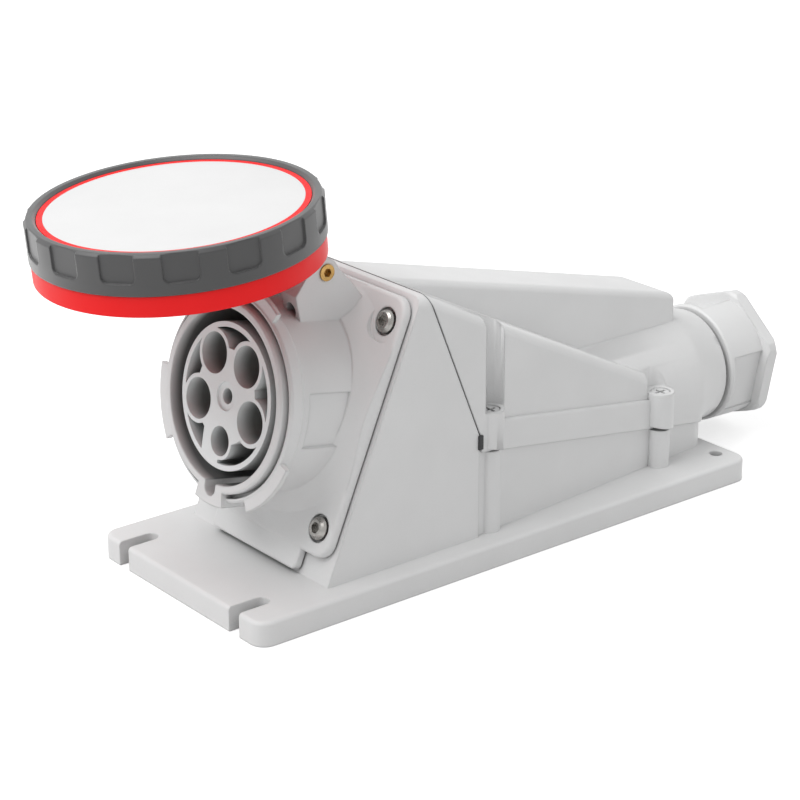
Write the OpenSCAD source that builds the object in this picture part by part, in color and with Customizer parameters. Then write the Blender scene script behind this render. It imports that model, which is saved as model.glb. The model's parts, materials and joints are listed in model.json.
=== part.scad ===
// Angled surface-mounting power socket with a hinged bayonet lid and a cable gland.
// The origin is the centre of the mounting face. The socket faces -Y, the gland +Y.

/* [Mounting plate] */
// Width of the plate
plate_w = 134.6; // [126:0.1:150]
// Length of the plate
plate_l = 321; // [318:0.5:340]
// Thickness of the plate
plate_t = 12.5; // [11:0.1:14]
// Corner radius of the plate in plan
plate_corner_r = 8; // [5:0.5:12]
// Rounding of the plate's top edge
plate_edge_r = 2; // [1:0.1:3]
// Width of each open fixing slot at the front
slot_w = 8; // [6:0.1:10]
// Length of each fixing slot
slot_l = 19.5; // [14:0.5:24]
// Distance between the front slots
slot_spacing = 93; // [86:0.5:100]
// Bore of each rear fixing hole
rear_hole_d = 7; // [5:0.1:9]
// Distance between the rear fixing holes
rear_hole_spacing = 105.6; // [102:0.1:112]
// Rear fixing holes, in from the plate's rear edge
rear_hole_inset = 10.5; // [8:0.1:14]

/* [Housing] */
// Width of the front frame
housing_w = 111; // [110:0.1:116]
// Height of the front frame above the mounting face
housing_h = 144; // [142:0.1:150]
// Wall of the housing
wall_t = 4; // [3:0.1:4.5]
// Rounding of the frame's top corners
frame_corner_r = 6; // [3:0.5:8]
// Backward lean of the frame's front face, in degrees
frame_lean = 23.3; // [22:0.1:24]
// Front foot of the frame, back from the plate's front edge
frame_foot = 47.4; // [46:0.1:49]
// Thickness of the frame's front wall
frame_wall = 6; // [4:0.1:7]
// Width of the frame's flat top strip
top_strip = 4; // [3:0.1:5]
// Rear wall of the housing, in from the plate's rear edge
rear_wall_inset = 3.5; // [3:0.1:6]
// Inward taper of the side walls, in degrees
wall_taper = 5; // [4.5:0.1:5.5]
// Corner radius at the rear of the housing
rear_corner_r = 12; // [8:0.5:16]
// Height of the split line where the cover's side walls begin
split_z = 58.9; // [57:0.1:60]
// Fall of the split line towards the rear, in degrees
split_fall = 10.2; // [9.5:0.1:10.5]
// Thickness of the inner floor
floor_t = 4; // [3:0.1:5]

/* [Cover] */
// Height of the rim that runs round the foot of the cover
rim_h = 14.5; // [11:0.1:17]
// How far the rim stands proud of the base wall
rim_proud = 1.6; // [1.4:0.1:2.2]
// Fall of the shoulders towards the rear, in degrees
shoulder_fall = 26.6; // [25:0.1:28]
// Width of the raised tunnel
tunnel_w = 40; // [34:0.5:50]
// Fall of the tunnel's roof towards the rear, in degrees
tunnel_fall = 13.8; // [12.5:0.1:15]
// Rear end of the tunnel
tunnel_end_y = 146.5; // [138:0.5:150]
// Radius of the cover screw bosses
boss_r = 7.5; // [6.5:0.1:8.5]
// Height of the cover screw bosses above the split line
boss_h = 19.5; // [18:0.1:24]
// Thickness of the rubber gasket round the cover
gasket_t = 0.8; // [0.5:0.1:1.2]

/* [Gland] */
// Height of the gland axis
gland_z = 42; // [41:0.1:44]
// Radius of the neck where it leaves the cover
neck_r = 42.5; // [40:0.1:44]
// Radius of the neck's end ring
neck_end_r = 31.2; // [30.5:0.1:33]
// Rear face of the neck's end ring
neck_end_y = 178.6; // [176:0.1:186]
// Thread radius of the neck, over its crests
thread_r = 25.5; // [24:0.1:26.5]
// Radius of the largest cable that the seal takes
cable_r = 19; // [15:0.1:20]
// Width across the flats of the nut's hexagon flange
nut_flats = 67.4; // [66:0.1:72]
// Length of the gland nut
nut_l = 31.7; // [30:0.1:42]
// Width of the slit between the nut and the neck
nut_gap = 3; // [2:0.1:5]

/* [Socket] */
// Upward tilt of the socket axis, in degrees
socket_tilt = 10.7; // [10:0.1:12]
// Height of the collar's mouth centre
socket_z = 97; // [95:0.1:98]
// Reach of the collar's mouth centre in front of the frame's face, along its axis
socket_reach = 52; // [50:0.1:54]
// Bore of the collar, for the plug's shroud
collar_d = 84.5; // [82:0.1:85]
// Outer diameter of the collar's neck
collar_neck_d = 93; // [91.5:0.1:95]
// Outer diameter of the ring at the collar's mouth
collar_ring_d = 100.6; // [99:0.1:101]
// Width of the flange
flange_w = 106; // [104:0.1:108]
// Height of the flange along its face
flange_h = 129; // [126:0.1:130]
// Thickness of the flange at its edge
flange_t = 4.4; // [3.5:0.1:5]
// Flange screw spacing across
flange_screw_x = 85; // [82:0.1:88]
// Flange screw spacing along the face
flange_screw_v = 102.4; // [100:0.1:106]
// Head diameter of the flange screws
screw_head_d = 11.5; // [9:0.1:12.5]

/* [Contacts] */
// Diameter of the contact insert
insert_d = 70.6; // [68:0.1:71.5]
// Insert face, back from the collar's mouth
insert_recess = 2.2; // [1:0.1:5]
// Depth of the ring gap that takes the plug's shroud
shroud_depth = 46; // [42:0.5:48]
// Pitch circle of the contacts
contact_pcd = 44; // [43:0.1:45]
// Diameter of each live contact well
well_d = 20; // [18:0.1:20.5]
// Pin that the live contacts take
live_pin_d = 12; // [10:0.1:13]
// Pin that the earth contact takes
earth_pin_d = 14; // [12:0.1:14.4]
// Pin that the pilot contact takes
pilot_pin_d = 6.5; // [5:0.1:7]
// Depth of the live contacts below the insert's face
live_depth = 18; // [12:0.5:24]

/* [Lid] */
// Opening angle of the lid as it stands
lid_open = 74; // [40:1:100]
// Outer diameter of the bayonet ring
ring_d = 135.2; // [134:0.1:138]
// Height of the whole lid
lid_h = 28.6; // [27:0.1:31]
// Height of the bayonet ring's grip
ring_h = 18.8; // [17:0.1:20]
// Diameter of the printed disc on the lid
disc_d = 118; // [112:0.5:119]
// Width of the coloured edge round the disc
edge_w = 2.8; // [2.5:0.1:3.1]
// Number of finger scallops round the bayonet ring
scallops = 15; // [10:1:18]
// Lid's top face, in front of the collar's mouth when shut
lid_lead = 13.4; // [12.5:0.1:14.5]
// Turn that locks the bayonet ring, in degrees
ring_turn = 35; // [25:1:36]
// Hinge axis, back from the collar's mouth
hinge_back = 34.6; // [34:0.1:36]
// Hinge axis, above the socket axis
hinge_rise = 64.5; // [63.5:0.1:66]
// Diameter of the hinge pin
hinge_pin_d = 8; // [6:0.1:9]
// Length of the hinge pin
hinge_pin_l = 45; // [42:0.5:52]

/* [Clearances] */
// Gap round pieces that only sit in place
seat_gap = 0.3; // [0.2:0.05:0.4]
// Radial running clearance of the hinge pin
run_gap = 0.05; // [0.02:0.01:0.1]

/* [Hidden] */
$fn = 96;

// Small overlap that lets one cut run through a face
cut = 1;
// How far a rounding runs past the faces that it joins, so that it meets them at a slight angle
edge_blend = 0.05;

housing_colour = [0.86, 0.86, 0.86];
insert_colour = [0.84, 0.84, 0.83];
lid_colour = [0.9, 0.13, 0.12];
ring_colour = [0.38, 0.38, 0.39];
rubber_colour = [0.1, 0.1, 0.1];
brass_colour = [0.78, 0.6, 0.3];
steel_colour = [0.72, 0.72, 0.72];

// Plan of the plate and the housing on it
front_y = -plate_l / 2;
rear_y = plate_l / 2;
rear_wall_y = rear_y - rear_wall_inset;
floor_rise = 0.4;
floor_z = plate_t + floor_rise;
pocket_h = floor_z - floor_t;

// Line of the frame's front face: Y at a height Z
function face_y(z) = front_y + frame_foot + (z - plate_t) * tan(frame_lean);

// Seam between the frame and the cover: from the top strip down to the front bosses
seam_top_y = face_y(housing_h) + top_strip;
seam_foot_y = -20;
seam_foot_z = split_z + 7;
seam_lean = atan((seam_foot_y - seam_top_y) / (housing_h - seam_foot_z));
seam_slit = 1.6;

// Split line of the side walls, and the shoulder and tunnel lines of the cover
function split_at(y) = split_z - (y - seam_foot_y) * tan(split_fall);
function shoulder_at(y) = housing_h - (y - seam_top_y) * tan(shoulder_fall);
function tunnel_at(y) = housing_h - (y - seam_top_y) * tan(tunnel_fall);
cover_inset = 0.6;
gasket_inset = 0.4;
skirt_drop = 1.5;
cover_front_end = seam_foot_y + 8;

// Half width of the base wall at Y, behind the frame
wall_front_x = housing_w / 2 - rim_proud;
function wall_x(y) = wall_front_x - (y - seam_foot_y) * tan(wall_taper);

// Cover screw bosses: [x, y]
front_boss = [housing_w / 2 - 5, seam_foot_y + 10.5];
rear_boss_inset = 42;
rear_boss_y = rear_wall_y - rear_boss_inset;
rear_boss = [wall_x(rear_boss_y) + 1.7, rear_boss_y];
boss_places = [for (s = [-1, 1], b = [front_boss, rear_boss]) [s * b[0], b[1]]];
column_r = boss_r - 1.5;
relief_r = boss_r + 0.8;
relief_wall = 3;
cover_screw_r = 2.5;
cover_head_r = 5;
cover_head_h = 3.5;
cover_screw_l = 34;
cover_head_sink = 0.5;
cross_slot_l = 6.8;
cross_slot_w = 1.4;
cross_slot_depth = 1.6;

// Flange on the leaning face
flange_z = 82.5;
flange_gap = 1;
flange_corner_r = 9;
flange_edge_r = 2;
tongue_w = 68;
tongue_l = 10.5;
tongue_step = 0.4;
tongue_corner_r = 3;
tongue_edge_r = 1.2;
counterbore_r = screw_head_d / 2 + 1.2;
counterbore_floor = flange_gap + 2.2;
spotface_r = counterbore_r + 3.2;
flange_screw_r = 3;
flange_screw_l = 14;
screw_head_h = 4.5;
screw_key_r = 2.9;

// Mouth of the collar: its axis meets the leaning face socket_reach behind it
socket_y = face_y(socket_z - socket_reach * sin(socket_tilt)) - socket_reach * cos(socket_tilt);
collar_r = collar_d / 2;
collar_neck_r = collar_neck_d / 2;
collar_ring_r = collar_ring_d / 2;
collar_end = -(shroud_depth + 12);
spigot_r = collar_r + 2.6;
mouth_wall_r = collar_r + 3.9;
mouth_groove_r = mouth_wall_r + 2.2;
ring_front = -2.6;
ring_back = -9;
groove_floor = -6.5;
neck_back = -(socket_reach + 14);
turning_back = -33;
flare_h = 9;
flare_r = collar_neck_r + 16.5;
flare_top_r = collar_neck_r - 0.8;
flare_sink = 0.3;
flare_inset = 0.4;
cove_rise = flare_h + flare_sink;
cove_r = (pow(flare_r - flare_top_r, 2) + pow(cove_rise, 2)) / (2 * cove_rise);
flare_v = (socket_z - socket_reach * sin(socket_tilt) - flange_z) / cos(frame_lean);
grip_depth = 1.6;
grip_span = 33;
grip_front = -16;
grip_back = 6 - socket_reach;
keyway_w = 8.4;
keyway_r = collar_r + 6.6;
keyway_boss_r = keyway_r + 4;
keyway_boss_span = 24;
keyway_boss_back = -15;

// Bayonet lugs on the collar, and the ring's lugs that pass between them
collar_lug_r = collar_ring_r + 5;
collar_lug_root_r = collar_ring_r - 1.5;
collar_lug_span = 40;
collar_lug_angles = [78, 198, 318];
collar_lug_front = ring_front - 0.4;
collar_lug_back = ring_front - 3;
ring_lug_r = collar_ring_r + 2.3;
ring_lug_span = 18;
ring_lug_angles = [118, 238, 358];
ring_lug_front = collar_lug_back - 0.6;
ring_lug_back = ring_lug_front - 3.2;

// Contact insert
insert_r = insert_d / 2;
well_r = well_d / 2;
well_wall = 2;
insert_rim = 2.6;
hub_r = contact_pcd / 2 + 1;
pocket_depth = 14;
insert_front = -insert_recess;
insert_base_r = collar_r - seat_gap;
insert_base_front = -shroud_depth;
insert_base_back = insert_base_front - 8;
insert_back_r = insert_r - 1.5;
insert_back = insert_base_back - 14;
retainer_back = insert_base_back - 3.5;
stop_r = collar_r - 1.1;
live_angles = [126, 54, -18, 198];
earth_angle = -90;
earth_pad_w = 13.5;
earth_depth = pocket_depth + 1.5;
pilot_depth = 14;
pilot_dish_r = 7;
pilot_dish_depth = 1.2;
contact_wall = 2.4;
contact_bore = 42;
contact_back = insert_back - 20;
terminal_hole = 18;
terminal_screw_r = 3;
terminal_up = 9;
terminal_z = contact_back + terminal_up;
function on_pcd(a) = [contact_pcd / 2 * cos(a), contact_pcd / 2 * sin(a), 0];

// Lid, along the socket axis in its shut place
lid_top = lid_lead;
ring_lip = 1.4;
face_top = lid_top - ring_lip;
lid_bottom = lid_lead - lid_h;
ring_r = ring_d / 2;
ring_bottom = lid_top - ring_h;
cap_edge_r = disc_d / 2 + edge_w;
cap_lip = 3;
cap_wall_r = cap_edge_r - 1.2;
cap_wall_inner_r = cap_wall_r - 2.4;
cap_roof = 4.4;
cap_wall_end = lid_bottom + 3.2;
disc_t = 1.6;
ring_inner_r = cap_wall_r + seat_gap;
ring_skirt_r = ring_inner_r + 2.1;
ring_skirt_end = ring_lug_back - 0.6;
ring_edge = 1.5;
band_r = ring_r - 0.7;
band_inner_r = ring_skirt_r + seat_gap;
scallop_depth = 1.4;
scallop_w = 16;
scallop_turn = -8;
scallop_foot = 5.4;
scallop_corner_r = 3;
window_margin = 3;
seal_inner_r = collar_r + 0.6;
seal_outer_r = mouth_wall_r + 1.5;
seal_rib = 1.4;
seal_rib_end = 3;
hinge_r = hinge_pin_d / 2 + 2.5;
knuckle_w = 17;
washer_t = 1.2;
washer_gap = 0.1;
lug_inner_x = knuckle_w / 2 + washer_t + 2 * washer_gap;
lug_outer_x = hinge_pin_l / 2 - 0.8;
lug_root = -30;
lug_front = [[lug_root, 9], [-11.7, 16], [-3.2, 11.6], [4.4, 4.7]];
lug_back = [[-7, -18.4], [-13, -25], [lug_root, -22]];
lug_recess_up = -19;
lug_recess_floor = 3;
lug_recess_wall = 2.4;
pin_key_r = 2.2;
pin_key_depth = 2.5;

// Gland
neck_start_y = 60;
neck_round_end_y = tunnel_end_y + 1.5;
neck_cone_end_y = neck_end_y - 7.6;
neck_cone_end_r = neck_end_r + 2.3;
neck_foot_r = gland_z - plate_t - 0.7;
neck_foot_y = rear_y + 0.5;
nut_front_y = neck_end_y + nut_gap;
nut_end_y = nut_front_y + nut_l;
nut_flange_t = 7.3;
nut_flange_y = nut_end_y - nut_flange_t;
nut_rear_r = nut_flats / 2 - 0.2;
nut_front_r = nut_rear_r - 0.6;
nut_edge = 1;
nut_corner_r = nut_flats / 2 + 4.1;
nut_corner_chamfer = 1.6;
nut_flat_x = thread_r + 2.8;
nut_flat_w = 32;
nut_lead = 3;
nut_hex_turn = -19.35;
nut_flat_angles = [10.65, 130.65, 250.65];
thread_end_y = nut_end_y - 14;
neck_bore_r = thread_r - 3.5;
seal_seat_y = thread_end_y - 10;
seal_lip = 2;
washer_end_y = thread_end_y + seal_lip + 2;

// Profile in the plane through the part's length, [y, z] points, drawn out across the width
module across(width) {
    rotate([90, 0, 90]) linear_extrude(width, center = true) children();
}

// Local frame of the socket: Z out along the socket axis, Y up its face
module at_socket() {
    translate([0, socket_y, socket_z]) rotate([90 - socket_tilt, 0, 0]) children();
}

// Local frame of the flange: Z out of the leaning face, Y up along it
module at_flange() {
    translate([0, face_y(flange_z), flange_z]) rotate([90 - frame_lean, 0, 0]) children();
}

// Local frame of the hinge axis, parallel to the socket frame
module at_hinge() {
    at_socket() translate([0, hinge_rise, -hinge_back]) children();
}

// Socket frame swung open about the hinge axis
module at_lid() {
    at_hinge() rotate([-lid_open, 0, 0]) translate([0, -hinge_rise, hinge_back]) children();
}

// Local frame of the gland: Z along +Y on the gland axis
module at_gland() {
    translate([0, 0, gland_z]) rotate([-90, 0, 0]) children();
}

module mirrored() {
    children();
    mirror([1, 0, 0]) children();
}

module rounded_rect(w, l, r) {
    square([w - 2 * r, l], center = true);
    square([w, l - 2 * r], center = true);
    for (x = [-1, 1], y = [-1, 1]) translate([x * (w / 2 - r), y * (l / 2 - r)]) circle(r);
}

// Half section of a slab with a rounded top edge
module edge_section(half, t, r) {
    square([half - r, t]);
    square([half, t - r]);
    translate([half - r, t - r]) circle(r);
}

module full_section(half, t, r) {
    edge_section(half, t, r);
    mirror([1, 0]) edge_section(half, t, r);
}

// Slab with rounded corners in plan and a rounded top edge
module soft_slab(w, l, t, corner_r, edge_r) {
    rotate([90, 0, 0]) linear_extrude(l - 2 * corner_r, center = true) full_section(w / 2, t, edge_r);
    rotate([90, 0, 90]) linear_extrude(w - 2 * corner_r, center = true) full_section(l / 2, t, edge_r);
    for (x = [-1, 1], y = [-1, 1])
        translate([x * (w / 2 - corner_r), y * (l / 2 - corner_r), 0])
            rotate_extrude() edge_section(corner_r, t, edge_r);
}

// Tube from z0 up to z1
module tube(inner_r, outer_r, z0, z1) {
    translate([0, 0, z0]) difference() {
        cylinder(r = outer_r, h = z1 - z0);
        translate([0, 0, -cut]) cylinder(r = inner_r, h = z1 - z0 + 2 * cut);
    }
}

module rod(r, z0, z1) {
    translate([0, 0, z0]) cylinder(r = r, h = z1 - z0);
}

// Ring sector between two radii, centred on an angle
module sector(inner_r, outer_r, span, angle, z0, z1) {
    translate([0, 0, z0]) rotate(angle - span / 2) rotate_extrude(angle = span)
        translate([inner_r, 0]) square([outer_r - inner_r, z1 - z0]);
}

// Plan of the tapering walls, grown or shrunk by d, from y0 to the rear wall
module wall_plan(d, y0) {
    r = rear_corner_r + d;
    corner_y = rear_wall_y + d - r;
    corner_x = wall_x(corner_y) + d - r;
    polygon([
        [-wall_x(y0) - d, y0], [wall_x(y0) + d, y0],
        [wall_x(corner_y) + d, corner_y], [-wall_x(corner_y) - d, corner_y]
    ]);
    translate([-corner_x, corner_y - cut]) square([2 * corner_x, r + cut]);
    for (s = [-1, 1]) translate([s * corner_x, corner_y]) circle(r);
}

// Arch that the frame and the front of the cover share, from y0 to y1
module arch(d, y0, y1) {
    w = housing_w - 2 * d;
    h = housing_h - d;
    r = frame_corner_r;
    translate([0, y1, 0]) rotate([90, 0, 0]) linear_extrude(y1 - y0) {
        translate([-w / 2, plate_t - cut]) square([w, h - r - plate_t + cut]);
        translate([-w / 2 + r, plate_t - cut]) square([w - 2 * r, h - plate_t + cut]);
        for (s = [-1, 1]) translate([s * (w / 2 - r), h - r]) circle(r);
    }
}

// Everything above the split line, lifted by d
module above_split(d) {
    lift = d / cos(split_fall);
    across(2 * housing_w) polygon([
        [seam_foot_y + seam_slit, split_at(seam_foot_y + seam_slit) + lift],
        [nut_end_y, split_at(nut_end_y) + lift],
        [nut_end_y, 2 * housing_h], [seam_foot_y + seam_slit, 2 * housing_h]
    ]);
}

// The low walls of the base, grown by d in plan and raised by lift
module low_walls(d, lift) {
    y0 = seam_foot_y - cut;
    intersection() {
        translate([0, 0, plate_t - cut]) linear_extrude(split_z) wall_plan(d, y0);
        across(2 * housing_w) polygon([
            [y0 - cut, 0], [nut_end_y, 0],
            [nut_end_y, split_at(nut_end_y) + lift], [y0 - cut, split_at(y0 - cut) + lift]
        ]);
    }
}

module at_bosses() {
    for (p = boss_places) translate([p[0], p[1], 0]) children();
}

module at_flange_screws() {
    at_flange() for (x = [-1, 1], y = [-1, 1])
        translate([x * flange_screw_x / 2, y * flange_screw_v / 2, 0]) children();
}

// Side of the frame, in front of its seam with the cover
module frame_side() {
    across(2 * housing_w) polygon([
        [face_y(plate_t - cut), plate_t - cut], [face_y(housing_h + cut), housing_h + cut],
        [seam_top_y, housing_h + cut], [seam_top_y, housing_h],
        [seam_foot_y, seam_foot_z], [seam_foot_y, plate_t - cut]
    ]);
}

module base_shell() {
    soft_slab(plate_w, plate_l, plate_t, plate_corner_r, plate_edge_r);
    intersection() {
        frame_side();
        arch(0, front_y, seam_foot_y + cut);
    }
    low_walls(0, 0);
    for (p = boss_places) translate([p[0], p[1], 0])
        rod(column_r, plate_t - cut, split_at(p[1] + column_r));
}

// Hollow behind the frame's face and between the low walls
module base_hollow() {
    shift = frame_wall / cos(frame_lean);
    roof = housing_h - wall_t;
    difference() {
        union() {
            across(housing_w - 2 * wall_t) polygon([
                [face_y(floor_z) + shift, floor_z], [face_y(roof) + shift, roof],
                [0, roof], [seam_foot_y + cut, floor_z]
            ]);
            translate([0, 0, floor_z]) linear_extrude(housing_h) wall_plan(-wall_t, seam_foot_y);
        }
        at_bosses() rod(column_r, 0, housing_h);
        at_flange_screws() rod(flange_screw_r + 3, -flange_screw_l - 3, 0);
    }
}

module fixing_holes() {
    for (s = [-1, 1]) {
        translate([s * slot_spacing / 2, front_y + slot_l - slot_w / 2, 0])
            rod(slot_w / 2, -cut, plate_t + cut);
        translate([s * slot_spacing / 2 - slot_w / 2, front_y - cut, -cut])
            cube([slot_w, slot_l - slot_w / 2 + cut, plate_t + 2 * cut]);
        translate([s * rear_hole_spacing / 2, rear_y - rear_hole_inset, 0])
            rod(rear_hole_d / 2, -cut, plate_t + cut);
    }
}

// Pockets that leave ribs under the plate, clear of the fixing holes
module underside_pockets() {
    rib = 5;
    rows = 5;
    first_y = front_y + slot_l + 2 * rib;
    pitch = (rear_y - rear_hole_inset - rear_hole_d - 2 * rib - first_y) / rows;
    half_w = plate_w / 2 - plate_edge_r - 2 * rib;
    for (i = [0 : rows - 1], s = [0, 1]) mirror([s, 0, 0])
        translate([rib / 2, first_y + i * pitch, -cut])
            cube([half_w - rib / 2, pitch - rib, pocket_h + cut]);
}

module base() {
    color(housing_colour) difference() {
        base_shell();
        base_hollow();
        underside_pockets();
        fixing_holes();
        at_gland() rod(neck_bore_r, rear_wall_y - 2 * wall_t, rear_wall_y + 2 * wall_t);
        at_socket() rod(spigot_r + seat_gap, 2 * collar_end, 0);
        at_flange_screws() rod(flange_screw_r, -flange_screw_l, cut);
        at_bosses() rod(cover_screw_r, plate_t + 2, housing_h);
    }
}

// Side view of the cover's body, between the shoulders and the base
module cover_side() {
    lean_d = gasket_t / cos(seam_lean);
    end_y = rear_wall_y + cut;
    polygon([
        [seam_top_y + lean_d, housing_h],
        [seam_foot_y + lean_d, seam_foot_z], [seam_foot_y + seam_slit, seam_foot_z - 2],
        [seam_foot_y + seam_slit, split_at(seam_foot_y)],
        [end_y, split_at(end_y)], [end_y, shoulder_at(end_y)]
    ]);
}

// Corner to take off where a side wall meets the shoulder, which ends at [x, y] and runs forwards
module shoulder_edge(x, y, run, taper) {
    r = frame_corner_r;
    fall = atan(tan(shoulder_fall) * cos(taper));
    tilt = asin(sin(shoulder_fall) * sin(taper));
    translate([x, y, shoulder_at(y)]) rotate([0, 0, taper]) rotate([90 - fall, 0, 0])
        linear_extrude(run / (cos(taper) * cos(fall)))
            translate([-r, r * (sin(tilt) - 1) / cos(tilt)]) difference() {
                square(2 * r);
                circle(r + edge_blend);
            }
}

module cover_body() {
    intersection() {
        across(2 * housing_w) cover_side();
        union() {
            difference() {
                arch(0, seam_top_y - cut, cover_front_end);
                mirrored() shoulder_edge(housing_w / 2, cover_front_end + cut,
                    cover_front_end - seam_top_y + 2 * cut, 0);
            }
            difference() {
                linear_extrude(2 * housing_h) wall_plan(-cover_inset, seam_foot_y);
                mirrored() shoulder_edge(wall_x(rear_wall_y) - cover_inset, rear_wall_y,
                    rear_wall_y - seam_foot_y + cut, wall_taper);
            }
        }
    }
}

// Rim whose skirt hangs below the split line, in front of the gasket
module cover_rim() {
    y0 = seam_foot_y + seam_slit;
    intersection() {
        linear_extrude(2 * housing_h) wall_plan(rim_proud, seam_foot_y);
        across(2 * housing_w) polygon([
            [y0, split_at(y0) - skirt_drop], [rear_y, split_at(rear_y) - skirt_drop],
            [rear_y, split_at(rear_y) + rim_h], [y0, split_at(y0) + rim_h]
        ]);
    }
}

// Raised tunnel along the middle of the cover, d in from its outside
module cover_tunnel(d, front) {
    across(tunnel_w - 2 * d) polygon([
        [front, tunnel_at(front) - d], [tunnel_end_y - d, tunnel_at(tunnel_end_y) - d],
        [tunnel_end_y - d, gland_z], [neck_start_y, gland_z], [front, seam_foot_z]
    ]);
}

// Tunnel cut off along the seam with the frame
module tunnel_outside() {
    intersection() {
        cover_tunnel(0, seam_top_y);
        across(2 * housing_w) polygon([
            [seam_top_y + gasket_t / cos(seam_lean), housing_h],
            [seam_foot_y + gasket_t / cos(seam_lean), seam_foot_z],
            [nut_end_y, 0], [nut_end_y, housing_h]
        ]);
    }
}

// Round neck that carries the gland
module cover_neck() {
    intersection() {
        at_gland() rotate_extrude() polygon([
            [0, neck_start_y], [neck_r, neck_start_y], [neck_r, neck_round_end_y],
            [neck_cone_end_r, neck_cone_end_y], [neck_end_r, neck_end_y], [0, neck_end_y]
        ]);
        above_split(0);
    }
    at_gland() rotate_extrude() polygon([
        [0, rear_wall_y + seat_gap], [neck_foot_r, rear_wall_y + seat_gap], [neck_foot_r, neck_foot_y],
        [neck_end_r, neck_foot_y], [neck_end_r, neck_end_y],
        [thread_r, neck_end_y], [thread_r, thread_end_y], [0, thread_end_y]
    ]);
}

module cover_bosses() {
    intersection() {
        for (p = boss_places) translate([p[0], p[1], 0]) rod(boss_r, 0, split_at(p[1]) + boss_h);
        above_split(0);
    }
}

// Hollow under the shoulders, the tunnel and the neck
module cover_hollow() {
    front = seam_top_y - 4;
    back = rear_wall_y - cover_inset - wall_t;
    drop = wall_t / cos(shoulder_fall);
    difference() {
        union() {
            intersection() {
                across(2 * housing_w) polygon([
                    [front, shoulder_at(front) - drop], [back, shoulder_at(back) - drop],
                    [back, 0], [front, 0]
                ]);
                union() {
                    translate([-housing_w / 2 + wall_t, front, 0])
                        cube([housing_w - 2 * wall_t, seam_foot_y + 4 - front, housing_h]);
                    linear_extrude(2 * housing_h) wall_plan(-cover_inset - wall_t, seam_foot_y);
                }
            }
            cover_tunnel(wall_t, front);
            intersection() {
                at_gland() rotate_extrude() polygon([
                    [0, neck_start_y + wall_t], [neck_r - wall_t, neck_start_y + wall_t],
                    [neck_r - wall_t, neck_round_end_y - 1], [neck_end_r - wall_t, neck_cone_end_y],
                    [0, neck_cone_end_y]
                ]);
                above_split(wall_t);
            }
        }
        at_bosses() rod(relief_r + relief_wall, 0, 2 * housing_h);
    }
    at_gland() rod(neck_bore_r - 1.5, rear_wall_y - 2 * wall_t, thread_end_y + cut);
    at_gland() rod(neck_bore_r, seal_seat_y, thread_end_y + cut);
}

module rear_cover() {
    color(housing_colour) difference() {
        union() {
            difference() {
                union() {
                    cover_body();
                    cover_rim();
                    tunnel_outside();
                    cover_neck();
                }
                for (p = boss_places) translate([p[0], p[1], 0])
                    rod(relief_r, split_at(p[1]) + boss_h, 2 * housing_h);
            }
            cover_bosses();
        }
        cover_hollow();
        low_walls(seat_gap, gasket_t / cos(split_fall));
        for (p = boss_places) translate([p[0], p[1], 0])
            rod(column_r + seat_gap, 0, split_at(p[1] + column_r));
        at_bosses() rod(cover_screw_r + seat_gap, 0, housing_h);
        for (p = boss_places) translate([p[0], p[1], 0])
            rod(cover_head_r + seat_gap, split_at(p[1]) + boss_h - cover_head_h - cover_head_sink, housing_h);
    }
}

// Gasket: a leaning strip behind the frame and a strip on top of the low walls
module cover_gasket() {
    inset = cover_inset + 2 * gasket_inset;
    edge = wall_t - gasket_inset;
    lean_d = gasket_t / cos(seam_lean);
    lift = gasket_t / cos(split_fall);
    y0 = seam_foot_y + seam_slit;
    color(rubber_colour) {
        intersection() {
            difference() {
                arch(inset, seam_top_y - cut, seam_foot_y);
                translate([-housing_w / 2 + edge, seam_top_y - 2 * cut, 0])
                    cube([housing_w - 2 * edge, housing_h, housing_h - edge]);
            }
            across(housing_w) polygon([
                [seam_top_y, housing_h], [seam_foot_y, seam_foot_z],
                [seam_foot_y + lean_d, seam_foot_z], [seam_top_y + lean_d, housing_h]
            ]);
        }
        intersection() {
            linear_extrude(2 * housing_h) intersection() {
                wall_plan(-inset, y0);
                union() {
                    difference() {
                        wall_plan(0, y0);
                        wall_plan(-edge, y0 - cut);
                    }
                    for (p = boss_places) translate(p) circle(column_r);
                }
            }
            difference() {
                across(housing_w) polygon([
                    [y0, split_at(y0)], [rear_y, split_at(rear_y)],
                    [rear_y, split_at(rear_y) + lift], [y0, split_at(y0) + lift]
                ]);
                at_bosses() rod(cover_screw_r + seat_gap, 0, housing_h);
                at_gland() rod(neck_bore_r, rear_wall_y - 2 * wall_t, rear_y);
            }
        }
    }
}

module cover_screws() {
    color(housing_colour) for (p = boss_places) {
        top = split_at(p[1]) + boss_h - cover_head_sink;
        translate([p[0], p[1], top]) difference() {
            union() {
                rod(cover_head_r, -cover_head_h, 0);
                rod(cover_screw_r - 0.1, -cover_screw_l, -cover_head_h);
            }
            for (a = [0, 90]) rotate(a)
                translate([-cross_slot_l / 2, -cross_slot_w / 2, -cross_slot_depth])
                    cube([cross_slot_l, cross_slot_w, cross_slot_depth + cut]);
        }
    }
}

// Collar turned about the socket axis
module collar_turning() {
    rotate_extrude() polygon([
        [0, collar_end], [spigot_r, collar_end], [spigot_r, turning_back],
        [collar_neck_r, turning_back], [collar_neck_r, ring_back - 4],
        [collar_ring_r, ring_back], [collar_ring_r, ring_front - 1], [collar_ring_r - 1, ring_front],
        [mouth_groove_r, ring_front], [mouth_groove_r, groove_floor], [mouth_wall_r, groove_floor],
        [mouth_wall_r, -0.8], [mouth_wall_r - 0.8, 0], [0, 0]
    ]);
}

// Neck of the collar, down to the flange's back
module collar_neck() {
    intersection() {
        at_socket() rod(collar_neck_r, neck_back, turning_back + cut);
        at_flange() translate([-flange_w / 2, -flange_h / 2, flange_gap])
            cube([flange_w, flange_h, socket_reach]);
    }
}

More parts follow.
